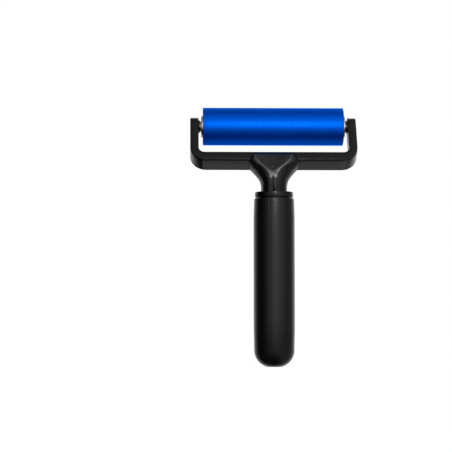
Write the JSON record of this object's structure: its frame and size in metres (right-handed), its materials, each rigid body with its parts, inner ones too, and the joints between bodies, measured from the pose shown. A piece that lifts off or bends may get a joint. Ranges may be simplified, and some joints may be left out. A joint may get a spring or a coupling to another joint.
{
  "type": "hand brayer",
  "caption": "Hand brayer: a smooth rubber-covered roller on shielded ball bearings, in a leaning U-shaped moulded yoke with a flared neck, on a thick round grip.",
  "frame": {"origin": "centre of the flat on the butt of the grip", "axes": "+Z along the grip towards the roller, +X along the roller's axle, the yoke leans back towards +Y"},
  "size_m": [0.1182, 0.0443, 0.1844],
  "materials": {
    "grip_plastic": "satin black, fine pebble grain",
    "frame_plastic": "satin black moulded plastic, smooth",
    "blue_rubber": "smooth satin bright blue, faint circumferential grinding marks",
    "aluminium": "turned",
    "shaft_steel": "ground",
    "spacer_steel": "turned, zinc plated",
    "bearing_steel": "ground and polished",
    "ball_steel": "polished",
    "cage_steel": "pressed sheet",
    "shield_steel": "pressed sheet"
  },
  "bodies": {
    "yoke": {"yoke": "frame_plastic", "grip": "grip_plastic", "axle": "shaft_steel", "left_spacer": "spacer_steel", "left_bearing_inner_ring": "bearing_steel", "right_spacer": "spacer_steel", "right_bearing_inner_ring": "bearing_steel"},
    "roller": {"roller_cover": "blue_rubber", "roller_core": "aluminium", "left_bearing_outer_ring": "bearing_steel", "left_bearing_shield_outboard": "shield_steel", "left_bearing_shield_inboard": "shield_steel", "right_bearing_outer_ring": "bearing_steel", "right_bearing_shield_outboard": "shield_steel", "right_bearing_shield_inboard": "shield_steel"},
    "left_cage": {"left_bearing_balls": "ball_steel", "left_bearing_cage_outboard": "cage_steel", "left_bearing_cage_inboard": "cage_steel"},
    "right_cage": {"right_bearing_balls": "ball_steel", "right_bearing_cage_outboard": "cage_steel", "right_bearing_cage_inboard": "cage_steel"}
  },
  "joints": [
    {"name": "roller_spin", "type": "hinge", "parent": "yoke", "child": "roller", "pos_m": [0, 0.01645, 0.171], "axis": [1, 0, 0], "continuous": true},
    {"name": "left_cage_spin", "type": "hinge", "parent": "yoke", "child": "left_cage", "pos_m": [0, 0.01645, 0.171], "axis": [1, 0, 0], "continuous": true},
    {"name": "right_cage_spin", "type": "hinge", "parent": "yoke", "child": "right_cage", "pos_m": [0, 0.01645, 0.171], "axis": [1, 0, 0], "continuous": true}
  ],
  "couplings": [
    {"joint": "left_cage_spin", "follows": "roller_spin", "ratio": 0.6323},
    {"joint": "right_cage_spin", "follows": "roller_spin", "ratio": 0.6323}
  ]
}
